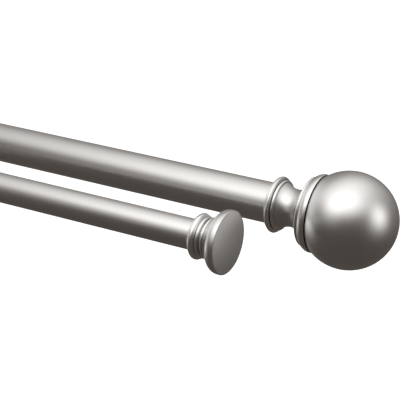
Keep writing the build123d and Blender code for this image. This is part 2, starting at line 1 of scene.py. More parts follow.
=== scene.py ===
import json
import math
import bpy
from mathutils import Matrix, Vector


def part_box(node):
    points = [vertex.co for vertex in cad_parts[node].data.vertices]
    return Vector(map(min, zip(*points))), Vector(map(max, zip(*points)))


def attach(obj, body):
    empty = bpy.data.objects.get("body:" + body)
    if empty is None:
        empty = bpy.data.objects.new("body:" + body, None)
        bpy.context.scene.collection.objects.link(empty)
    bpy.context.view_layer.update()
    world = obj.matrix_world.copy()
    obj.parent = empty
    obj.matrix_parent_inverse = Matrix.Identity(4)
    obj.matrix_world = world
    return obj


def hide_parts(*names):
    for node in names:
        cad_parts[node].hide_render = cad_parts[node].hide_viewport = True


bl_info = {
    "name": "Double Curtain Rod",
    "version": (1, 0, 0),
    "blender": (4, 5, 0),
    "location": "View3D > Sidebar > Curtain Rod",
    "description": "Satin nickel double curtain rod with ball finials and mushroom caps",
    "category": "Object",
}

from itertools import accumulate
from types import SimpleNamespace

import bpy
import numpy as np
from mathutils import Vector

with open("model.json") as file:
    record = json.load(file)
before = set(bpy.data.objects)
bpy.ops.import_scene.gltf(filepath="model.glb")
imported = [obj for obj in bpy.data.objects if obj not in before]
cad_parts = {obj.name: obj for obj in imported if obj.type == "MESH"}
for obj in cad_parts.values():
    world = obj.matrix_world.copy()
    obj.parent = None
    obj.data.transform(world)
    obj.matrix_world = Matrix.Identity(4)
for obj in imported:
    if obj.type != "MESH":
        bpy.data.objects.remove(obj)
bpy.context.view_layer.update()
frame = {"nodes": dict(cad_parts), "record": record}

SIDES = ("left", "right")
RODS = ("front", "back")
# Turns about Z, in degrees, of a piece that points out of a rod's end or towards the wall
OUTWARDS = {"left": 180, "right": 0}
TOWARDS_WALL = 90

# Rings round a turned piece and steps along its outline
TURNS = 144
SMALL_TURNS = 72
ARC_STEPS = 18
BALL_STEPS = 72
THREAD_STEPS = 10
KNOB_STEPS = 5

# Softened corners: steps, least angle, set-back and its largest share of a side, and the distance and
# largest share at which a straight run has points near its ends
CORNER_STEPS = 5
CORNER_ANGLE = math.radians(18)
CORNER_ROUND = 0.00016
CORNER_SHARE = 0.4
CORNER_SUPPORT = 0.0004
SUPPORT_SHARE = 0.35

# Middle of a quarter circle, as a share of its radius in from the corner
ROUND_MIDDLE = 1 - math.sqrt(0.5)
# Depth of a shallow dish halfway to its rim, as a share of its depth
DISH_MIDDLE = 0.75
FLUTE_BLUNTNESS = 0.7
# Depths of the threads as shares of their pitches
FINIAL_THREAD = 0.4
THUMB_THREAD = 0.5

# Satin finishes: detail of the noise and the range of it that is used, its roughness, the grain's
# depth, and how far the roughness goes from its mean
GRAIN_NOISE = (3, 0.32, 0.68)
CLOUD_NOISE = (2, 0.30, 0.70)
NOISE_ROUGHNESS = 0.55
GRAIN_DEPTH = 0.0002
SATIN_RANGE = 0.03
CAST_RANGE = 0.08

# Wear and painted groove shade: the edge attribute per radian of turn, the patchiness range and least share
# of rubbed edges, how much smoother they are, and where on the attribute the painted shade in a groove
# starts and is darkest
EDGE_PER_TURN = 3
PATCH_RANGE = (0.2, 0.8)
PATCH_LEAST = 0.35
EDGE_POLISH = 0.22
GROOVE_SHADE_RANGE = (-0.30, -1.00)

FLOOR_ROUGHNESS = 0.9
CLIP_START = 0.01
# Half width of a soft light, in spreads
LIGHT_REACH = 3

# Soft glows round the studio: turn from the room's side, height and spread in degrees, and brightness
BESIDE_FINIAL = (280, 16, 15, 1.90)
BEHIND_CAMERA = (216, 60, 20, 0.65)
ALONG_RODS = (90, 22, 18, 0.80)
LOW_ALONG_RODS = (98, -11, 11, 1.20)
OVER_ROOM = (350, 46, 28, 0.72)
ACROSS_ROOM = (66, 3, 12, 1.20)
LOW_ACROSS_ROOM = (60, -24, 9, 0.50)
GLOWS = (BESIDE_FINIAL, BEHIND_CAMERA, ALONG_RODS, LOW_ALONG_RODS, OVER_ROOM, ACROSS_ROOM,
         LOW_ACROSS_ROOM)


def number(name, description, default, **kind):
    """A property that holds a number, with its unit, subtype or range."""
    return bpy.props.FloatProperty(name=name, description=description, default=default, **kind)


def length(name, description, default):
    """A property that holds a length in metres."""
    return number(name, description, default, unit="LENGTH", precision=5)


def factor(name, description, default):
    """A property that holds a share from 0 to 1."""
    return number(name, description, default, min=0, max=1, subtype="FACTOR")


def angle(name, description, degrees):
    """A property that holds an angle, given in degrees."""
    return number(name, description, math.radians(degrees), subtype="ANGLE")


def colour(name, description, default):
    """A property that holds a linear colour."""
    return bpy.props.FloatVectorProperty(
        name=name, description=description, default=default, size=3, min=0, max=1, subtype="COLOR")


def group_of(kind, name, description):
    """A property that holds a group of others."""
    return bpy.props.PointerProperty(type=kind, name=name, description=description)


class TubeSizes(bpy.types.PropertyGroup):
    """Sizes of the telescoping tubes that their boxes in the frame don't give."""
    wall: length("Wall", "Thickness of the tubes", 0.0008)
    mouth_round: length("Mouth round", "Rounding of the outer tubes' rolled mouths", 0.0007)
    mouth_length: length("Mouth length", "How far a rolled mouth reaches along the inner tube", 0.003)
    mouth_gap: length("Mouth gap", "Clearance of a rolled mouth round its inner tube", 0.0003)


class FinialSizes(bpy.types.PropertyGroup):
    """Ball finial. Steps are from the front tube's surface, widths run outwards from its end."""
    end_gap: length("End gap", "Tube's end to the collar", 0.0001)
    foot_step: length("Foot ring", "Height of the thin ring against the tube's end", 0.0032)
    foot_width: length("Foot ring width", "Width of that ring", 0.001)
    foot_dip: length("Foot ring dip", "How far that ring's sides fall below its crest", 0.00035)
    bead_step: length("Bead", "Height of the collar's bead", 0.00475)
    bead_width: length("Bead width", "Width of the collar's bead", 0.0029)
    bead_end_step: length("Bead end", "Height of the bead's outer side", 0.0029)
    ring_step: length("Ring", "Height of the thin ring beside the bead", 0.003)
    ring_width: length("Ring width", "Width of the thin ring", 0.0023)
    ring_end_step: length("Ring end", "Height of the thin ring's two sides", 0.0019)
    spool_step: length("Spool", "Height at which the spool starts beside that ring", 0.0015)
    waist_step: length("Waist", "Depth of the spool's waist", -0.001)
    waist_width: length("Waist run", "Collar to the spool's waist", 0.0074)
    flare_width: length("Flare run", "Waist to the cup's foot", 0.0093)
    cup_foot_step: length("Cup foot", "Height of the cup's foot", 0.0049)
    step_ring_step: length("Step ring", "Height of the ring under the cup's band", 0.0088)
    step_ring_width: length("Step ring width", "Width of the ring under the cup's band", 0.0019)
    step_ring_dip: length("Step ring dip", "How far that ring's sides fall below its crest", 0.001)
    band_foot_step: length("Band foot", "Height at which the cup's band starts", 0.0086)
    band_step: length("Band", "Height of the cup's band", 0.0111)
    band_width: length("Band width", "Width of the cup's band", 0.0059)
    lip_step: length("Lip", "Height of the cup's lip", 0.0111)
    lip_edge: length("Lip edge", "Thickness of the cup's lip", 0.00035)
    ball_gap: length("Shadow gap", "Gap between the ball and the cup", 0.00045)
    ball_wall: length("Ball wall", "Thickness of the hollow ball", 0.0012)
    ball_base: length("Ball base", "Thickness of the ball's flat base", 0.002)
    seat_radius: length("Ball seat", "Radius of the ball's flat base", 0.008)
    bore_gap: length("Bore gap", "Clearance of the stud's hole", 0.00008)
    thread_pitch: length("Thread pitch", "Pitch of the finial's thread", 0.0015)


class CapSizes(bpy.types.PropertyGroup):
    """Mushroom cap. Steps are from the back tube's surface, widths run outwards from its end."""
    end_gap: length("End gap", "Tube's end to the cap", 0.0001)
    foot_step: length("Foot ring", "Height of the thin ring against the tube's end", 0.0025)
    foot_width: length("Foot ring width", "Width of that ring", 0.0009)
    foot_dip: length("Foot ring dip", "How far that ring's sides fall below its crest", 0.0003)
    bead_step: length("Bead", "Height of the cap's bead", 0.0045)
    bead_width: length("Bead width", "Width of the cap's bead", 0.0041)
    bead_end_step: length("Bead end", "Height of the valley between bead and ring", 0.0024)
    ring_step: length("Ring", "Height of the thin ring", 0.00315)
    ring_width: length("Ring width", "Width of the thin ring", 0.0024)
    groove_step: length("Groove", "Height of the groove's floor", 0.0015)
    groove_width: length("Groove width", "Width of the groove", 0.0011)
    fillet_step: length("Fillet", "Height of the ring at the foot of the flare", 0.0032)
    fillet_width: length("Fillet width", "Width of that ring", 0.0017)
    fillet_dip: length("Fillet dip", "How far that ring's sides fall below its crest", 0.0006)
    flare_width: length("Flare width", "Width of the hollow flare", 0.0041)
    flare_sag: length("Flare sag", "How far the flare is hollowed", 0.00035)
    shoulder_step: length("Shoulder", "Height at which the flare rounds over", 0.00715)
    shoulder_width: length("Shoulder width", "Width of the round shoulder", 0.005)
    rim_step: length("Rim", "Height of the rim", 0.0097)
    rim_width: length("Rim width", "Width of the rim", 0.0018)
    rim_round: length("Rim round", "Rounding of the rim's edge", 0.0006)
    crown: length("Crown", "Rise of the cap's face", 0.003)
    shank_radius: length("Shank", "Radius of the shank inside the tube", 0.0045)


class ThumbscrewSizes(bpy.types.PropertyGroup):
    """Thumbscrews on the cups."""
    hub_radius: length("Hub", "Radius of the knob's hub", 0.0042)
    hub_length: length("Hub length", "Length of the knob's hub", 0.0016)
    knob_round: length("Knob round", "Rounding of the knob's edges", 0.0009)
    cap_wall: length("Cap wall", "Thickness of the knob's closed end", 0.0016)
    dish: length("Dish", "Depth of the shallow dish in the knob's end", 0.0004)
    flutes: bpy.props.IntProperty(name="Flutes", description="Flutes round the knob", default=12)
    flute_depth: length("Flute depth", "Depth of the knob's flutes", 0.0006)
    bore_gap: length("Bore gap", "Clearance of the stud's hole", 0.00008)
    tip_taper: length("Tip taper", "Taper on the stud's tip", 0.0009)
    thread_pitch: length("Thread pitch", "Pitch of the stud's thread", 0.0007)


class Finishes(bpy.types.PropertyGroup):
    """Colours and polish of the finishes, with the painted shade of their grooves."""
    nickel_light: colour("Nickel light", "Lighter tone of the satin nickel", (0.61, 0.595, 0.58))
    nickel_deep: colour("Nickel deep", "Deeper tone of the satin nickel", (0.55, 0.532, 0.515))
    nickel_edge: colour("Nickel edge", "Rubbed edges of the satin nickel", (0.80, 0.79, 0.775))
    # Painted shade: a near-black colour laid into the nickel's grooves, where shade falls.
    nickel_groove: colour("Nickel groove shade", "Darkened grooves of the satin nickel", (0.10, 0.095, 0.09))
    nickel_satin: factor("Nickel satin", "Mean roughness of the turned satin nickel", 0.31)
    drawn_satin: factor("Drawn satin", "Mean roughness of the satin nickel on the tubes", 0.33)
    face_satin: factor("Face satin", "Roughness that brushing adds to the caps' faces", 0.22)
    steel_light: colour("Steel light", "Lighter tone of the plated steel", (0.60, 0.60, 0.58))
    steel_deep: colour("Steel deep", "Deeper tone of the plated steel", (0.42, 0.43, 0.43))
    steel_edge: colour("Steel edge", "Rubbed edges of the plated steel", (0.74, 0.74, 0.72))
    # Painted shade: a dark colour laid into the steel's grooves and threads, where shade falls.
    steel_groove: colour("Steel groove shade", "Darkened grooves of the plated steel", (0.22, 0.22, 0.21))
    nylon_light: colour("Nylon light", "Lighter tone of the nylon", (0.80, 0.79, 0.75))
    nylon_deep: colour("Nylon deep", "Deeper tone of the nylon", (0.70, 0.685, 0.64))


class StageSettings(bpy.types.PropertyGroup):
    """Camera, floor and soft studio light."""
    camera_turn: angle("Camera turn", "Direction of the camera, from the room's side", 210.34)
    camera_height: angle("Camera height", "How far the camera looks down", 23.11)
    camera_distance: length("Camera distance", "Camera to the point it looks at", 0.83667)
    aim_from_end: length("Aim", "Front tube's left end to the point the camera looks at", 0.0526)
    aim_rise: length("Aim rise", "How far that point stands above the middle of the picture", 0.00813)
    lens: number("Lens", "Focal length of the camera", 120.58, unit="CAMERA")
    floor_drop: length("Floor drop", "Floor below the wall screws' middle", 0.55)
    floor_size: length("Floor size", "Half the floor's width", 9.0)
    floor_colour: colour("Floor colour", "Colour of the pale floor", (0.9, 0.9, 0.9))
    floor_glow: factor("Floor glow", "Light that the floor gives back evenly", 0.75)
    key_glow: number("Key glow", "Brightness of the soft light above the finial", 1.52)
    key_spread: length("Key spread", "How far the soft light above fades out", 0.36)
    key_along: length("Key along", "Soft light above, from the tube's end along the rods", 0.05)
    key_across: length("Key across", "Soft light above, from the front rod towards the wall", 0.20)
    key_height: length("Key height", "Height of the soft light above the rods", 0.50)
    near_glow: number("Near glow", "Brightness of the soft light on the wall's side", 0.92)
    near_spread: length("Near spread", "How far the soft light on the wall's side fades out", 0.18)
    near_distance: length("Near distance", "Finial to the soft light on the wall's side", 0.55)
    near_turn: angle("Near turn", "Direction of the soft light on the wall's side", 157)
    near_height: angle("Near height", "Height of the soft light on the wall's side", 40)
    dusk: colour("Dusk", "Light from everywhere", (0.104, 0.091, 0.082))
    glow: colour("Glow", "Colour of the soft glows round the studio", (0.985, 0.995, 1.0))


class CurtainRodSettings(bpy.types.PropertyGroup):
    """Everything that the panel shows."""
    tube: group_of(TubeSizes, "Tubes", "Telescoping tubes")
    finial: group_of(FinialSizes, "Finials", "Ball finials")
    cap: group_of(CapSizes, "Caps", "Mushroom caps")
    thumb: group_of(ThumbscrewSizes, "Thumbscrews", "Thumbscrews on the cups")
    finish: group_of(Finishes, "Finishes", "Colours and polish")
    stage: group_of(StageSettings, "Stage", "Camera and light")


class Outline:
    """Half outline of a turned piece, as (distance along its axis, radius) points in metres."""

    def __init__(self, along, radius):
        self.runs = [np.array([[along, radius]])]

    def last(self):
        """The point that the outline has come to."""
        return self.runs[-1][-1]

    def line(self, along, radius):
        """A straight run, with a point close to each end that keeps the shading flat between them."""
        start = self.last()
        step = np.array([along, radius]) - start
        near = min(CORNER_SUPPORT / np.linalg.norm(step), SUPPORT_SHARE)
        shares = np.array([near, 1 - near, 1])
        self.runs.append(start + shares[:, None] * step)
        return self

    def arc(self, via, along, radius, steps=ARC_STEPS):
        """The circle through the last point, via and the end, in equal steps of angle.

        Its centre is as far from all three points: the crossing of two lines that halve their sides.
        """
        start = self.last()
        others = np.array([via, (along, radius)])
        centre = np.linalg.solve(2 * (others - start), (others**2).sum(axis=1) - (start**2).sum())
        arms = np.vstack([start, others]) - centre
        bearings = np.arctan2(arms[:, 1], arms[:, 0])
        passing, sweep = np.mod(bearings[1:] - bearings[0], 2 * math.pi)
        if passing > sweep:
            sweep -= 2 * math.pi
        turns = bearings[0] + sweep * np.arange(1, steps + 1) / steps
        ray = np.stack([np.cos(turns), np.sin(turns)], axis=1)
        self.runs.append(centre + np.linalg.norm(arms[0]) * ray)
        return self

    def bead(self, along, radius, top):
        """A rounded bead or ring whose crest, at radius top, is halfway to the end point."""
        return self.arc(((self.last()[0] + along) / 2, top), along, radius)

    def hollow(self, along, radius):
        """A cove that comes in from a larger radius and ends level with the axis."""
        return self.arc(level_arc_middle((along, radius), self.last()), along, radius)

    def flare(self, along, radius):
        """A cove that starts level with the axis and climbs to a larger radius."""
        return self.arc(level_arc_middle(self.last(), (along, radius)), along, radius)

    def shoulder(self, along, radius):
        """A round shoulder that climbs from a smaller radius and ends level with the axis."""
        start = self.last()
        middle, below = level_arc_middle((along, -radius), (start[0], -start[1]))
        return self.arc((middle, -below), along, radius)

    def points(self, ring):
        """All points with the sharp corners softened. A ring's outline comes back to its first point."""
        points = np.concatenate(self.runs)
        return soften(points[:-1] if ring else points, ring)


def level_arc_middle(low, far):
    """Middle of the arc that runs level through low, its lowest point, and ends at far."""
    run = far[0] - low[0]
    rise = far[1] - low[1]
    radius = (run**2 + rise**2) / (2 * rise)
    half_turn = math.atan2(run, radius - rise) / 2
    return (low[0] + radius * math.sin(half_turn), low[1] + radius * (1 - math.cos(half_turn)))


def sides_and_turns(points, ring):
    """Steps to the points before and after each point, and the signed turn of the outline there.

    The turn is the angle from the step that arrives to the step that leaves, left turns positive.
    The two ends of an open outline have no turn.
    """
    arrive = points - np.roll(points, 1, axis=0)
    leave = np.roll(points, -1, axis=0) - points
    cross = arrive[:, 0] * leave[:, 1] - arrive[:, 1] * leave[:, 0]
    turns = np.arctan2(cross, (arrive * leave).sum(axis=1))
    if not ring:
        turns[[0, -1]] = 0
    return arrive, leave, turns


def soften(points, ring):
    """Rounds each sharp corner.

    The corner's point gives way to a quadratic curve, (1 - t)^2 a + 2 t (1 - t) p + t^2 b, between
    points a and b that are set back from the corner p along its two sides.
    """
    arrive, leave, turns = sides_and_turns(points, ring)
    before = np.linalg.norm(arrive, axis=1)
    after = np.linalg.norm(leave, axis=1)
    back = np.minimum(CORNER_ROUND, CORNER_SHARE * np.minimum(before, after))
    start = points - arrive * (back / before)[:, None]
    stop = points + leave * (back / after)[:, None]
    t = np.linspace(0, 1, CORNER_STEPS)[None, :, None]
    curves = (1 - t)**2 * start[:, None] + 2 * t * (1 - t) * points[:, None] + t**2 * stop[:, None]
    sharp = np.abs(turns) > CORNER_ANGLE
    curves[~sharp, 0] = points[~sharp]
    keep = np.zeros(curves.shape[:2], dtype=bool)
    keep[:, 0] = True
    keep[sharp] = True
    return curves[keep]


def edge_strength(points, ring):
    """How sharply the outline bulges at each point: its right turn times a factor, at most 1.

    A left turn gives a groove, which counts down from 0 to -1.
    """
    turns = sides_and_turns(points, ring)[2]
    return np.clip(-EDGE_PER_TURN * turns, -1, 1)


def turned(points, turns, carve=None):
    """The outline carried round its axis: x = distance, y = radius cos t, z = radius sin t.

    carve changes the radius: it takes the distances, radii and angles, and gives the new radii.
    """
    t = 2 * math.pi * np.arange(turns)[None, :] / turns
    along = np.repeat(points[:, :1], turns, axis=1)
    radius = np.repeat(points[:, 1:], turns, axis=1)
    if carve:
        radius = carve(along, radius, t)
    return np.stack([along, radius * np.cos(t), radius * np.sin(t)], axis=2)


def placed(grid, origin, turn):
    """A grid that lies along X, turned about Z by a number of degrees and moved to its origin."""
    c = math.cos(math.radians(turn))
    s = math.sin(math.radians(turn))
    matrix = np.array([[c, -s, 0], [s, c, 0], [0, 0, 1]])
    return grid @ matrix.T + np.array(origin)


def ring_mesh(name, grid, ring, travel, edges):
    """Mesh of a turned grid, with quads between neighbouring rings and the seam shared.

    A ring's outline joins its last row to its first. An open outline starts and ends on the axis,
    where its row is one point and the faces are triangles. U goes once round the piece, and V is the
    distance travelled along the outline, in metres.
    """
    rows, turns = grid.shape[:2]
    kept = slice(None) if ring else slice(turns - 1, (rows - 1) * turns + 1)
    vertices = grid.reshape(-1, 3)[kept]
    strengths = np.repeat(edges, turns)[kept]
    column = np.arange(turns)
    index = column + turns * np.arange(rows)[:, None]
    if not ring:
        index = np.clip(index - turns + 1, 0, len(vertices) - 1)
    below = index if ring else index[:-1]
    above = np.roll(index, -1, axis=0)[:len(below)]
    quads = np.stack([below, np.roll(below, -1, axis=1), np.roll(above, -1, axis=1), above], axis=2)
    across = np.stack([column, column + 1, column + 1, column], axis=1) / turns
    level = np.stack([travel[:-1], travel[:-1], travel[1:], travel[1:]], axis=1)
    maps = np.stack(np.broadcast_arrays(across[None], level[:, None]), axis=3)
    if ring:
        faces = quads.reshape(-1, 4).tolist()
        maps = maps.reshape(-1, 2)
    else:
        middle = ((column + 0.5) / turns)[:, None]
        maps[0, :, :2, 0] = middle
        maps[-1, :, 2:, 0] = middle
        faces = quads[1:-1].reshape(-1, 4).tolist() + quads[0, :, 1:].tolist() + quads[-1, :, :3].tolist()
        fans = (maps[1:-1], maps[0, :, 1:], maps[-1, :, :3])
        maps = np.concatenate([part.reshape(-1, 2) for part in fans])
    mesh = bpy.data.meshes.new(name)
    mesh.from_pydata(vertices.tolist(), [], faces)
    mesh.polygons.foreach_set("use_smooth", np.ones(len(faces), dtype=bool))
    mesh.uv_layers.new(name="turning").data.foreach_set("uv", maps.astype(np.float32).ravel())
    edge = mesh.attributes.new("edge", "FLOAT", "POINT")
    edge.data.foreach_set("value", strengths.astype(np.float32))
    mesh.update()
    return mesh


def turned_piece(name, outline, ring, origin, turn, node, material, turns=TURNS, carve=None):
    """Makes a turned piece from its outline, puts it in a CAD node's place and on that node's body."""
    points = outline.points(ring)
    loop = np.vstack([points, points[:1]]) if ring else points
    steps = np.linalg.norm(np.diff(loop, axis=0), axis=1)
    travel = np.concatenate([[0], np.cumsum(steps)])
    grid = placed(turned(points, turns, carve), origin, turn)
    mesh = ring_mesh(name, grid, ring, travel, edge_strength(points, ring))
    mesh.materials.append(material)
    piece = bpy.data.objects.new(name, mesh)
    bpy.context.scene.collection.objects.link(piece)
    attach(piece, body_of(node))
    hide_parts(node)
    return piece


def thread(pitch, depth, start, stop):
    """Carves a right-handed thread between two distances.

    The radius drops by depth times a triangle wave of distance / pitch - angle / a full turn, and the
    cut fades out over one pitch at each end.
    """
    def carve(along, radius, t):
        phase = np.mod(along / pitch - t / (2 * math.pi), 1)
        wave = np.abs(2 * phase - 1)
        fade = np.clip((along - start) / pitch, 0, 1) * np.clip((stop - along) / pitch, 0, 1)
        return radius - depth * wave * fade * (radius > depth)
    return carve


def flutes(count, depth, hub):
    """Carves rounded flutes: beyond the hub the radius drops by depth times a blunted cosine."""
    def carve(along, radius, t):
        wave = np.clip(np.cos(count * t), 0, 1)**FLUTE_BLUNTNESS
        reach = np.clip((radius - hub) / (radius.max() - hub), 0, 1)
        return radius - depth * wave * reach
    return carve


def body_of(node):
    """Body that carries a CAD node."""
    for body, members in frame["record"]["behaviour"]["bodies"].items():
        if node in members:
            return body
    raise ValueError(f"no body carries {node}")


def middle_of(node):
    """Middle of a CAD node's box."""
    low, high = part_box(node)
    return (low + high) / 2


def half_height(node):
    """Half of a CAD node's height, which is the radius of a piece turned along X or Y."""
    low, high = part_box(node)
    return (high.z - low.z) / 2


def rod_end(rod, side):
    """Point on a rod's axis at its left or right end, and the turn of a piece that points out of it."""
    tube = f"{rod}_outer_tube" if side == "left" else f"{rod}_inner_tube"
    low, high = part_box(tube)
    axis = middle_of(tube)
    end = low.x if side == "left" else high.x
    return (end, axis.y, axis.z), OUTWARDS[side]


def direction(turn, height):
    """Unit vector at a turn from the room's side and a height above the level, both in radians."""
    level = math.cos(height)
    return Vector((level * math.sin(turn), -level * math.cos(turn), math.sin(height)))


def new_group(name, inputs, outputs):
    """An empty shader node group with named inputs and outputs of given kinds, and its two end nodes."""
    group = bpy.data.node_groups.new(name, "ShaderNodeTree")
    for side, sockets in (("INPUT", inputs), ("OUTPUT", outputs)):
        for label, kind in sockets.items():
            group.interface.new_socket(label, in_out=side, socket_type=f"NodeSocket{kind}")
    return group, group.nodes.new("NodeGroupInput"), group.nodes.new("NodeGroupOutput")


def feed(tree, socket, value):
    """Links another socket to an input, or gives the input a value of its own."""
    if isinstance(value, bpy.types.NodeSocket):
        tree.links.new(value, socket)
    else:
        socket.default_value = value


def add_node(tree, kind, *feeds, **values):
    """A new node. values are its settings and its inputs by name, feeds its first inputs in order."""
    node = tree.nodes.new(kind)
    for name, value in values.items():
        if name in node.inputs:
            feed(tree, node.inputs[name], value)
        else:
            setattr(node, name, value)
    for socket, value in zip(node.inputs, feeds):
        feed(tree, socket, value)
    return node


def maths(tree, operation, *values, clamp=False):
    """Result of a sum on sockets and numbers."""
    return add_node(tree, "ShaderNodeMath", *values, operation=operation, use_clamp=clamp).outputs[0]


def dot(tree, first, second):
    """Dot product of two vectors."""
    return add_node(tree, "ShaderNodeVectorMath", first, second, operation="DOT_PRODUCT").outputs["Value"]


def mix_colours(tree, share, first, second, blend="MIX"):
    """A colour mixed from two sockets or colours by a socket's value."""
    node = add_node(tree, "ShaderNodeMix", data_type="RGBA", blend_type=blend, clamp_factor=False)
    for index, value in ((0, share), (6, first), (7, second)):
        feed(tree, node.inputs[index], value)
    return node.outputs[2]


def spread(tree, value, low, high, to_low, to_high):
    """A value that runs from to_low to to_high while the socket runs from low to high, then stays."""
    return add_node(tree, "ShaderNodeMapRange", value, low, high, to_low, to_high).outputs["Result"]


def satin_grain_group():
    """Fine grain and broad clouding of a satin finish, both from 0 to 1."""
    name = "Satin grain"
    if name in bpy.data.node_groups:
        return bpy.data.node_groups[name]
    inputs = {"Vector": "Vector", "Grain scale": "Float", "Cloud scale": "Float"}
    group, start, end = new_group(name, inputs, {"Grain": "Float", "Cloud": "Float"})
    for label, (detail, low, high) in (("Grain", GRAIN_NOISE), ("Cloud", CLOUD_NOISE)):
        noise = add_node(group, "ShaderNodeTexNoise", Vector=start.outputs["Vector"],
                         Scale=start.outputs[f"{label} scale"], Detail=detail, Roughness=NOISE_ROUGHNESS)
        feed(group, end.inputs[label], spread(group, noise.outputs["Fac"], low, high, 0, 1))
    return group


def worn_finish_and_groove_shade_group():
    """Edges rubbed brighter and smoother, grooves darkened with painted shade, and faces brushed rougher.

    The piece's edge attribute is above 0 on edges and below it in grooves, and its brushed attribute
    is what a brushed face adds to the roughness.
    """
    name = "Worn finish"
    if name in bpy.data.node_groups:
        return bpy.data.node_groups[name]
    inputs = {"Color": "Color", "Edge color": "Color", "Groove shade color": "Color", "Roughness": "Float",
              "Patchiness": "Float"}
    group, start, end = new_group(name, inputs, {"Color": "Color", "Roughness": "Float"})
    edge = add_node(group, "ShaderNodeAttribute", attribute_name="edge").outputs["Fac"]
    brushed = add_node(group, "ShaderNodeAttribute", attribute_name="brushed").outputs["Fac"]
    patches = spread(group, start.outputs["Patchiness"], *PATCH_RANGE, PATCH_LEAST, 1)
    rub = maths(group, "MULTIPLY", edge, patches, clamp=True)
    rubbed = mix_colours(group, rub, start.outputs["Color"], start.outputs["Edge color"])
    # Painted shade: the colour goes towards the near-black groove shade where the outline turns inward.
    groove = spread(group, edge, *GROOVE_SHADE_RANGE, 0, 1)
    polished = maths(group, "MULTIPLY_ADD", rub, -EDGE_POLISH, start.outputs["Roughness"])
    feed(group, end.inputs["Color"], mix_colours(group, groove, rubbed, start.outputs["Groove shade color"]))
    feed(group, end.inputs["Roughness"], maths(group, "ADD", polished, brushed))
    return group


def finish_material(name, tones, satin, coordinates, stretch, scales, metallic=1.0, bump=0.05):
    """A finish with two tones, grain in its roughness and bump, rubbed edges and grooves darkened with
    painted shade.

    tones are the light, deep, edge and painted groove shade colours, satin the lowest and highest
    roughness, stretch the scale of the coordinates along each axis, and scales those of the grain and
    clouding.
    """
    if name in bpy.data.materials:
        return bpy.data.materials[name]
    material = bpy.data.materials.new(name)
    material.use_nodes = True
    tree = material.node_tree
    if coordinates == "Object":
        place = add_node(tree, "ShaderNodeTexCoord").outputs["Object"]
    else:
        place = add_node(tree, "ShaderNodeUVMap", uv_map=coordinates).outputs["UV"]
    mapping = add_node(tree, "ShaderNodeMapping", Vector=place, Scale=stretch)
    satin_grain = add_node(tree, "ShaderNodeGroup", mapping.outputs["Vector"], *scales,
                           node_tree=satin_grain_group())
    grain = satin_grain.outputs["Grain"]
    cloud = satin_grain.outputs["Cloud"]
    light, deep, edge, groove = ((*tone, 1) for tone in tones)
    worn_and_shaded = add_node(tree, "ShaderNodeGroup", mix_colours(tree, cloud, light, deep), edge, groove,
                    spread(tree, grain, 0, 1, *satin), cloud, node_tree=worn_finish_and_groove_shade_group())
    relief = add_node(tree, "ShaderNodeBump", Strength=bump, Distance=GRAIN_DEPTH, Height=grain)
    shader = tree.nodes["Principled BSDF"]
    for socket, value in (("Base Color", worn_and_shaded.outputs["Color"]), ("Roughness", worn_and_shaded.outputs["Roughness"]),
                          ("Normal", relief.outputs["Normal"]), ("Metallic", metallic)):
        feed(tree, shader.inputs[socket], value)
    return material


def bare_material(name):
    """A new material without nodes, and its node tree."""
    material = bpy.data.materials.new(name)
    material.use_nodes = True
    material.node_tree.nodes.clear()
    return material, material.node_tree


def stage_square(name, half_width, material):
    """A flat square round the origin that belongs to the stage: its corners are plus and minus."""
    corners = half_width * np.array([[-1, -1, 0], [1, -1, 0], [1, 1, 0], [-1, 1, 0]])
    mesh = bpy.data.meshes.new(name)
    mesh.from_pydata(corners.tolist(), [], [(0, 1, 2, 3)])
    mesh.materials.append(material)
    square = bpy.data.objects.new(name, mesh)
    bpy.context.scene.collection.objects.link(square)
    return square


def tones_of(finish, metal):
    """Light, deep, edge and painted groove shade tones of a metal."""
    return [getattr(finish, f"{metal}_{tone}") for tone in ("light", "deep", "edge", "groove")]


def turned_nickel(finish):
    """Satin nickel on turned pieces, with a faint grain that runs round them."""
    satin = (finish.nickel_satin - SATIN_RANGE, finish.nickel_satin + SATIN_RANGE)
    return finish_material("turned_nickel", tones_of(finish, "nickel"), satin, "turning",
                           stretch=(0, 1600, 1), scales=(1.0, 0.02))


def drawn_nickel(finish):
    """Satin nickel on the drawn tubes, with a faint grain that runs along them."""
    satin = (finish.drawn_satin - SATIN_RANGE, finish.drawn_satin + SATIN_RANGE)
    return finish_material("drawn_nickel", tones_of(finish, "nickel"), satin, "Object",
                           stretch=(0.02, 1, 1), scales=(1600, 90))


def cast_nickel(finish):
    """Satin nickel on the cast and stamped bracket pieces, with an even fine grain."""
    satin = (finish.nickel_satin, finish.nickel_satin + CAST_RANGE)
    return finish_material("cast_nickel", tones_of(finish, "nickel"), satin, "Object",
                           stretch=(1, 1, 1), scales=(2400, 60), bump=0.08)


def plated_steel(finish, coordinates="Object"):
    """Zinc plated steel of screws, nuts and studs."""
    stretch = (1, 1, 1) if coordinates == "Object" else (0, 1, 1)
    return finish_material(f"plated_steel_{coordinates.lower()}", tones_of(finish, "steel"),
                           satin=(0.28, 0.45), coordinates=coordinates, stretch=stretch,
                           scales=(1800, 300), bump=0.1)


def nylon(finish):
    """Moulded nylon of glides, plugs and sleeves."""
    tones = (finish.nylon_light, finish.nylon_deep, finish.nylon_light, finish.nylon_deep)
    return finish_material("moulded_nylon", tones, satin=(0.42, 0.58), coordinates="Object",
                           stretch=(1, 1, 1), scales=(900, 120), metallic=0.0, bump=0.12)


def tube_outline(long, radius, wall, mouth):
    """Outline of a tube from 0 to long. mouth gives its rounding, reach and inside radius, or None."""
    bore = radius - wall
    outline = Outline(0, bore).line(0, radius)
    if mouth is None:
        return outline.line(long, radius).line(long, bore).line(0, bore)
    rounding, reach, inside = mouth
    corner = rounding * ROUND_MIDDLE
    outline.line(long - rounding, radius)
    outline.arc((long - corner, radius - corner), long, radius - rounding)
    outline.line(long, inside).line(long - reach + wall, inside)
    return outline.line(long - reach, bore).line(0, bore)


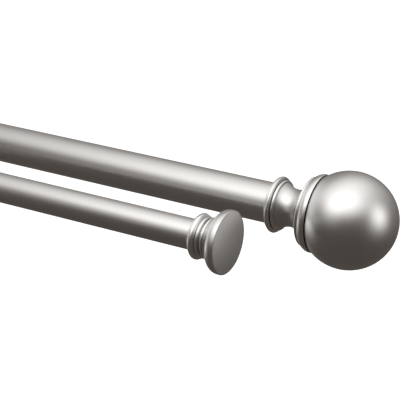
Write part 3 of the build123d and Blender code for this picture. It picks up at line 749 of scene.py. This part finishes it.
def finial_stations(sizes, tube_radius, ball_radius):
    """Distances from the tube's end that the finial's pieces share, and the lip's radius."""
    at = SimpleNamespace(lip_radius=tube_radius + sizes.lip_step)
    widths = (sizes.foot_width, sizes.bead_width, sizes.ring_width, sizes.waist_width,
              sizes.flare_width, sizes.step_ring_width, sizes.band_width)
    (at.start, at.foot_end, at.bead_end, at.ring_end, at.waist, at.cup_foot, at.band_start,
     at.lip) = accumulate(widths, initial=sizes.end_gap)
    sunk = at.lip_radius - sizes.lip_edge - sizes.ball_gap
    at.centre = at.lip + math.sqrt(ball_radius**2 - sunk**2)
    at.seat = at.centre - math.sqrt(ball_radius**2 - sizes.seat_radius**2)
    return at


def neck_outline(sizes, tube_radius, ball_radius, bore):
    """Collar of foot ring, bead and ring, waisted spool, and the stepped cup that takes the ball."""
    at = finial_stations(sizes, tube_radius, ball_radius)
    r = tube_radius
    hollow = ball_radius + sizes.ball_gap
    inside = at.lip_radius - sizes.lip_edge
    between = (sizes.seat_radius + inside) / 2
    hollow_end = at.centre - math.sqrt(hollow**2 - inside**2)
    hollow_middle = at.centre - math.sqrt(hollow**2 - between**2)
    hollow_start = at.centre - math.sqrt(hollow**2 - sizes.seat_radius**2)
    step_ring = r + sizes.step_ring_step
    foot_ring = r + sizes.foot_step
    outline = Outline(at.start, bore).line(at.start, foot_ring - sizes.foot_dip)
    outline.bead(at.foot_end, foot_ring - sizes.foot_dip, foot_ring)
    outline.bead(at.bead_end, r + sizes.bead_end_step, r + sizes.bead_step)
    outline.line(at.bead_end, r + sizes.ring_end_step)
    outline.bead(at.ring_end, r + sizes.ring_end_step, r + sizes.ring_step)
    outline.line(at.ring_end, r + sizes.spool_step)
    outline.hollow(at.waist, r + sizes.waist_step)
    outline.flare(at.cup_foot, r + sizes.cup_foot_step)
    outline.line(at.cup_foot, step_ring - sizes.step_ring_dip)
    outline.bead(at.band_start, step_ring - sizes.step_ring_dip, step_ring)
    outline.line(at.band_start, r + sizes.band_foot_step)
    outline.bead(at.lip, at.lip_radius, r + sizes.band_step)
    outline.line(hollow_end, inside)
    outline.arc((hollow_middle, between), hollow_start, sizes.seat_radius)
    outline.line(at.seat, sizes.seat_radius).line(at.seat, bore)
    return outline.line(at.start, bore)


def ball_outline(sizes, tube_radius, ball_radius, bore):
    """Hollow ball, inside from its crown to its flat base, through the stud's hole and back outside."""
    at = finial_stations(sizes, tube_radius, ball_radius)
    inside = ball_radius - sizes.ball_wall
    floor = at.seat + sizes.ball_base
    floor_radius = math.sqrt(inside**2 - (at.centre - floor)**2)
    outline = Outline(at.centre + inside, 0)
    outline.arc((at.centre, inside), floor, floor_radius, BALL_STEPS)
    outline.line(floor, bore).line(at.seat, bore).line(at.seat, sizes.seat_radius)
    return outline.arc((at.centre, ball_radius), at.centre + ball_radius, 0, BALL_STEPS)


def cap_outline(sizes, tube_radius, shank_end):
    """Shank, foot ring, bead, ring, groove and fillet ring, then flare, round shoulder and crowned face."""
    r = tube_radius
    widths = (sizes.foot_width, sizes.bead_width, sizes.ring_width, sizes.groove_width,
              sizes.fillet_width, sizes.flare_width, sizes.shoulder_width, sizes.rim_width)
    (start, foot_end, bead_end, ring_end, groove_end, fillet_end, flare_end, shoulder_end,
     rim_end) = accumulate(widths, initial=sizes.end_gap)
    foot = r + sizes.foot_step
    groove = r + sizes.groove_step
    fillet = r + sizes.fillet_step
    fillet_side = fillet - sizes.fillet_dip
    flare = r + sizes.shoulder_step
    rim = r + sizes.rim_step
    face = rim - sizes.rim_round
    corner = sizes.rim_round * ROUND_MIDDLE
    crown_radius = (face**2 + sizes.crown**2) / (2 * sizes.crown)
    crown_middle = rim_end + sizes.crown - crown_radius + math.sqrt(crown_radius**2 - face**2 / 4)
    outline = Outline(shank_end, 0).line(shank_end, sizes.shank_radius)
    outline.line(start, sizes.shank_radius).line(start, foot - sizes.foot_dip)
    outline.bead(foot_end, foot - sizes.foot_dip, foot)
    outline.bead(bead_end, r + sizes.bead_end_step, r + sizes.bead_step)
    outline.bead(ring_end, r + sizes.bead_end_step, r + sizes.ring_step)
    outline.line(ring_end, groove).line(groove_end, groove)
    outline.line(groove_end, fillet_side).bead(fillet_end, fillet_side, fillet)
    flare_middle = (fillet_side + flare) / 2 - sizes.flare_sag
    outline.arc(((fillet_end + flare_end) / 2, flare_middle), flare_end, flare)
    outline.shoulder(shoulder_end, rim)
    outline.line(rim_end - sizes.rim_round, rim)
    outline.arc((rim_end - corner, rim - corner), rim_end, face)
    return outline.arc((crown_middle, face / 2), rim_end + sizes.crown, 0, BALL_STEPS)


def knob_outline(sizes, long, radius, bore):
    """Knob from its hub at 0, with rounded edges, a shallow dish in its end and a blind hole."""
    corner = sizes.knob_round * ROUND_MIDDLE
    start = sizes.hub_length
    rim = radius - sizes.knob_round
    dish_rim = rim - sizes.knob_round
    outline = Outline(long - sizes.cap_wall, 0).line(long - sizes.cap_wall, bore).line(0, bore)
    outline.line(0, sizes.hub_radius).line(start, sizes.hub_radius).line(start, rim)
    outline.arc((start + corner, radius - corner), start + sizes.knob_round, radius)
    run = long - start - 2 * sizes.knob_round
    for step in range(1, KNOB_STEPS):
        outline.line(start + sizes.knob_round + step / KNOB_STEPS * run, radius)
    outline.line(long - sizes.knob_round, radius)
    outline.arc((long - corner, radius - corner), long, rim)
    outline.line(long, dish_rim)
    return outline.arc((long - DISH_MIDDLE * sizes.dish, dish_rim / 2), long - sizes.dish, 0)


def stud_outline(long, radius, taper, pitch):
    """Stud from 0 to long with tapered ends, stepped finely enough to carry its thread."""
    steps = int(THREAD_STEPS * (long - 2 * taper) / pitch)
    outline = Outline(0, 0).line(0, radius - taper).line(taper, radius)
    along = np.linspace(taper, long - taper, steps + 1)[1:]
    outline.runs.append(np.stack([along, np.full_like(along, radius)], axis=1))
    return outline.line(long, radius - taper).line(long, 0)


class CURTAIN_ROD_OT_tubes(bpy.types.Operator):
    """Make the two pairs of telescoping tubes"""
    bl_idname = "curtain_rod.make_tubes"
    bl_label = "Tubes"

    def execute(self, context):
        settings = context.scene.curtain_rod
        sizes = settings.tube
        nickel = drawn_nickel(settings.finish)
        for rod in RODS:
            inner_radius = half_height(f"{rod}_inner_tube")
            mouth = (sizes.mouth_round, sizes.mouth_length, inner_radius + sizes.mouth_gap)
            for part, shape in (("outer", mouth), ("inner", None)):
                node = f"{rod}_{part}_tube"
                low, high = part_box(node)
                axis = middle_of(node)
                outline = tube_outline(high.x - low.x, half_height(node), sizes.wall, shape)
                turned_piece(f"{rod}_rod_{part}", outline, True, (low.x, axis.y, axis.z),
                             OUTWARDS["right"], node, nickel)
        return {"FINISHED"}


class CURTAIN_ROD_OT_finials(bpy.types.Operator):
    """Make the ball finials: neck, ball and threaded stud at each end of the front rod"""
    bl_idname = "curtain_rod.make_finials"
    bl_label = "Ball finials"

    def execute(self, context):
        settings = context.scene.curtain_rod
        sizes = settings.finial
        nickel = turned_nickel(settings.finish)
        steel = plated_steel(settings.finish, "turning")
        tube = half_height("front_outer_tube")
        for side in SIDES:
            origin, turn = rod_end("front", side)
            ball = half_height(f"{side}_finial_ball")
            stud = half_height(f"{side}_finial_stud")
            bore = stud + sizes.bore_gap
            turned_piece(f"{side}_neck", neck_outline(sizes, tube, ball, bore), True, origin, turn,
                         f"{side}_finial_neck", nickel)
            turned_piece(f"{side}_ball", ball_outline(sizes, tube, ball, bore), False, origin, turn,
                         f"{side}_finial_ball", nickel)
            low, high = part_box(f"{side}_finial_stud")
            long = high.x - low.x
            start = high.x if side == "left" else low.x
            depth = FINIAL_THREAD * sizes.thread_pitch
            outline = stud_outline(long, stud, depth, sizes.thread_pitch)
            turned_piece(f"{side}_finial_thread", outline, False, (start, *origin[1:]), turn,
                         f"{side}_finial_stud", steel, SMALL_TURNS,
                         thread(sizes.thread_pitch, depth, depth, long - depth))
        return {"FINISHED"}


class CURTAIN_ROD_OT_caps(bpy.types.Operator):
    """Make the mushroom caps at the ends of the back rod"""
    bl_idname = "curtain_rod.make_caps"
    bl_label = "Mushroom caps"

    def execute(self, context):
        settings = context.scene.curtain_rod
        nickel = turned_nickel(settings.finish)
        tube = half_height("back_outer_tube")
        for side in SIDES:
            origin, turn = rod_end("back", side)
            low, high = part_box(f"{side}_cap")
            inside = high.x - origin[0] if side == "left" else origin[0] - low.x
            cap = turned_piece(f"{side}_mushroom_cap", cap_outline(settings.cap, tube, -inside), False,
                               origin, turn, f"{side}_cap", nickel)
            tip = low.x if side == "left" else high.x
            self.brush_face(cap.data, tip, settings.cap.crown, settings.finish.face_satin)
        return {"FINISHED"}

    def brush_face(self, mesh, tip, crown, roughness):
        """Roughens the face: all points less than the crown's rise from the cap's tip, along X."""
        places = np.empty(3 * len(mesh.vertices), dtype=np.float32)
        mesh.vertices.foreach_get("co", places)
        face = np.abs(places[::3] - tip) < crown
        brushed = mesh.attributes.new("brushed", "FLOAT", "POINT")
        brushed.data.foreach_set("value", (roughness * face).astype(np.float32))


class CURTAIN_ROD_OT_thumbscrews(bpy.types.Operator):
    """Make the fluted knobs and threaded studs of the four thumbscrews"""
    bl_idname = "curtain_rod.make_thumbscrews"
    bl_label = "Thumbscrews"

    def execute(self, context):
        settings = context.scene.curtain_rod
        sizes = settings.thumb
        nickel = turned_nickel(settings.finish)
        steel = plated_steel(settings.finish, "turning")
        for side in SIDES:
            for rod in RODS:
                place = f"{side}_{rod}"
                self.make_knob(place, sizes, nickel)
                self.make_stud(place, sizes, steel)
        return {"FINISHED"}

    def make_knob(self, place, sizes, nickel):
        """The fluted knob at a cup, its hub towards the room."""
        low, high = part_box(f"{place}_knob")
        axis = middle_of(f"{place}_knob")
        radius = (high.x - low.x) / 2
        bore = half_height(f"{place}_stud") + sizes.bore_gap
        outline = knob_outline(sizes, high.y - low.y, radius, bore)
        turned_piece(f"{place}_thumb_knob", outline, False, (axis.x, low.y, axis.z), TOWARDS_WALL,
                     f"{place}_knob", nickel, TURNS,
                     flutes(sizes.flutes, sizes.flute_depth, sizes.hub_radius))

    def make_stud(self, place, sizes, steel):
        """The threaded stud of the knob at a cup."""
        low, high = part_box(f"{place}_stud")
        axis = middle_of(f"{place}_stud")
        long = high.y - low.y
        depth = THUMB_THREAD * sizes.thread_pitch
        outline = stud_outline(long, half_height(f"{place}_stud"), sizes.tip_taper, sizes.thread_pitch)
        cuts = thread(sizes.thread_pitch, depth, sizes.tip_taper, long - sizes.tip_taper)
        turned_piece(f"{place}_thumb_thread", outline, False, (axis.x, low.y, axis.z), TOWARDS_WALL,
                     f"{place}_stud", steel, SMALL_TURNS, cuts)


class CURTAIN_ROD_OT_brackets(bpy.types.Operator):
    """Finish the brackets, fasteners and nylon pieces that keep their CAD shapes"""
    bl_idname = "curtain_rod.finish_brackets"
    bl_label = "Brackets and fittings"

    def execute(self, context):
        finish = context.scene.curtain_rod.finish
        nickel_nodes = [f"{side}_{part}" for side in SIDES
                        for part in ("wall_plate", "arm", "front_cup", "back_cup")]
        steel_nodes = ["arm_screws", "cup_screws"] + [f"{side}_finial_nut" for side in SIDES]
        nylon_nodes = [f"{rod}_glide" for rod in RODS]
        nylon_nodes += [f"{side}_{part}" for side in SIDES for part in ("tube_plug", "cap_sleeve")]
        kinds = ((cast_nickel(finish), nickel_nodes), (plated_steel(finish), steel_nodes),
                 (nylon(finish), nylon_nodes))
        for material, names in kinds:
            for name in names:
                for slot in frame["nodes"][name].material_slots:
                    slot.material = material
        return {"FINISHED"}


class CURTAIN_ROD_OT_stage(bpy.types.Operator):
    """Make the floor, the soft studio light and the camera"""
    bl_idname = "curtain_rod.make_stage"
    bl_label = "Stage"

    def execute(self, context):
        stage = context.scene.curtain_rod.stage
        end, _ = rod_end("front", "left")
        finial = Vector(end)
        self.make_floor(stage)
        self.make_world(context.scene, stage)
        above = finial + Vector((stage.key_along, stage.key_across, stage.key_height))
        self.make_soft_light("key_light", above, above - Vector((0, 0, 1)), stage.key_glow,
                             stage.glow, stage.key_spread)
        near = finial + stage.near_distance * direction(stage.near_turn, stage.near_height)
        self.make_soft_light("near_light", near, finial, stage.near_glow, stage.glow, stage.near_spread)
        self.make_camera(context.scene, stage, finial)
        context.scene.view_settings.view_transform = "Standard"
        return {"FINISHED"}

    def make_floor(self, stage):
        """A pale floor that lights itself a little and doesn't show in the nickel."""
        material, tree = bare_material("pale_floor")
        shader = add_node(tree, "ShaderNodeBsdfPrincipled", Roughness=FLOOR_ROUGHNESS,
                          **{"Base Color": (*stage.floor_colour, 1), "Emission Color": (1, 1, 1, 1),
                             "Emission Strength": stage.floor_glow})
        add_node(tree, "ShaderNodeOutputMaterial", shader.outputs[0])
        floor = stage_square("floor", stage.floor_size, material)
        floor.location.z = -stage.floor_drop
        floor.visible_glossy = False

    def make_world(self, scene, stage):
        """Dusk with soft glows all round for reflections, while the camera sees plain white behind."""
        world = bpy.data.worlds.new("studio")
        world.use_nodes = True
        scene.world = world
        tree = world.node_tree
        tree.nodes.clear()
        ray = add_node(tree, "ShaderNodeTexCoord").outputs["Generated"]
        light = (*stage.dusk, 1)
        for glow in GLOWS:
            light = mix_colours(tree, self.glow_strength(tree, ray, glow), light, (*stage.glow, 1), "ADD")
        around = add_node(tree, "ShaderNodeBackground", light)
        white = add_node(tree, "ShaderNodeBackground", (1, 1, 1, 1))
        seen = add_node(tree, "ShaderNodeLightPath").outputs["Is Camera Ray"]
        choice = add_node(tree, "ShaderNodeMixShader", seen, around.outputs[0], white.outputs[0])
        add_node(tree, "ShaderNodeOutputWorld", choice.outputs[0])

    def glow_strength(self, tree, ray, glow):
        """Brightness of a glow: its own times exp((cos a - 1) / spread^2), a from its middle."""
        turn, height, spread_angle, brightness = glow
        sharpness = 1 / math.radians(spread_angle)**2
        facing = dot(tree, ray, direction(math.radians(turn), math.radians(height)))
        bell = maths(tree, "EXPONENT", maths(tree, "MULTIPLY_ADD", facing, sharpness, -sharpness))
        return maths(tree, "MULTIPLY", bell, brightness)

    def make_soft_light(self, name, place, aim, glow, tint, spread):
        """A square that glows: its brightness falls from the middle as exp(-(x^2 + y^2) / 2).

        x and y are distances across the square, divided by the spread. The camera doesn't see it,
        and light from behind it passes through.
        """
        lamp = stage_square(name, LIGHT_REACH * spread, self.glow_material(name, glow, tint, spread))
        lamp.location = place
        lamp.rotation_euler = (aim - place).to_track_quat("-Z", "Y").to_euler()
        lamp.visible_camera = False
        lamp.visible_shadow = False

    def glow_material(self, name, glow, tint, spread):
        """Light of a soft light's square, exp(-(x^2 + y^2) / 2) times glow, added to what is behind it."""
        material, tree = bare_material(name)
        place = add_node(tree, "ShaderNodeTexCoord").outputs["Object"]
        scaled = add_node(tree, "ShaderNodeVectorMath", place, operation="SCALE", Scale=1 / spread)
        away = dot(tree, scaled.outputs["Vector"], scaled.outputs["Vector"])
        bell = maths(tree, "EXPONENT", maths(tree, "MULTIPLY", away, -0.5))
        shine = add_node(tree, "ShaderNodeEmission", (*tint, 1), maths(tree, "MULTIPLY", bell, glow))
        clear = add_node(tree, "ShaderNodeBsdfTransparent")
        both = add_node(tree, "ShaderNodeAddShader", shine.outputs[0], clear.outputs[0])
        add_node(tree, "ShaderNodeOutputMaterial", both.outputs[0])
        return material

    def make_camera(self, scene, stage, finial):
        """The camera at the photograph's viewing angle, aimed beside the finial."""
        camera = bpy.data.cameras.new("camera")
        camera.lens = stage.lens
        camera.clip_start = CLIP_START
        holder = bpy.data.objects.new("camera", camera)
        back = direction(stage.camera_turn, stage.camera_height)
        turn = back.to_track_quat("Z", "Y")
        aim = finial + Vector((stage.aim_from_end, 0, 0))
        holder.location = aim + back * stage.camera_distance - turn @ Vector((0, stage.aim_rise, 0))
        holder.rotation_euler = turn.to_euler()
        scene.collection.objects.link(holder)
        scene.camera = holder


OPERATORS = (
    CURTAIN_ROD_OT_tubes,
    CURTAIN_ROD_OT_finials,
    CURTAIN_ROD_OT_caps,
    CURTAIN_ROD_OT_thumbscrews,
    CURTAIN_ROD_OT_brackets,
    CURTAIN_ROD_OT_stage,
)


class CURTAIN_ROD_PT_panel(bpy.types.Panel):
    """Buttons that make the curtain rod, piece by piece"""
    bl_idname = "CURTAIN_ROD_PT_panel"
    bl_label = "Curtain Rod"
    bl_space_type = "VIEW_3D"
    bl_region_type = "UI"
    bl_category = "Curtain Rod"

    def draw(self, context):
        """A button for each operator, and a box for each group of settings."""
        settings = context.scene.curtain_rod
        for operator in OPERATORS:
            self.layout.operator(operator.bl_idname)
        for group in (settings.tube, settings.finial, settings.cap, settings.thumb, settings.finish,
                      settings.stage):
            box = self.layout.box()
            for name in group.bl_rna.properties.keys():
                if name not in {"rna_type", "name"}:
                    box.prop(group, name)


CLASSES = (TubeSizes, FinialSizes, CapSizes, ThumbscrewSizes, Finishes, StageSettings,
           CurtainRodSettings, *OPERATORS, CURTAIN_ROD_PT_panel)


def register():
    """Makes the classes and the scene's settings known to Blender."""
    for item in CLASSES:
        bpy.utils.register_class(item)
    bpy.types.Scene.curtain_rod = group_of(CurtainRodSettings, "Curtain rod", "Sizes, finishes and stage")


def unregister():
    """Takes the settings and the classes out again."""
    del bpy.types.Scene.curtain_rod
    for item in reversed(CLASSES):
        bpy.utils.unregister_class(item)


def main():
    """Makes the whole curtain rod and its stage."""
    register()
    bpy.ops.curtain_rod.make_tubes()
    bpy.ops.curtain_rod.make_finials()
    bpy.ops.curtain_rod.make_caps()
    bpy.ops.curtain_rod.make_thumbscrews()
    bpy.ops.curtain_rod.finish_brackets()
    bpy.ops.curtain_rod.make_stage()


if __name__ == "__main__":
    main()
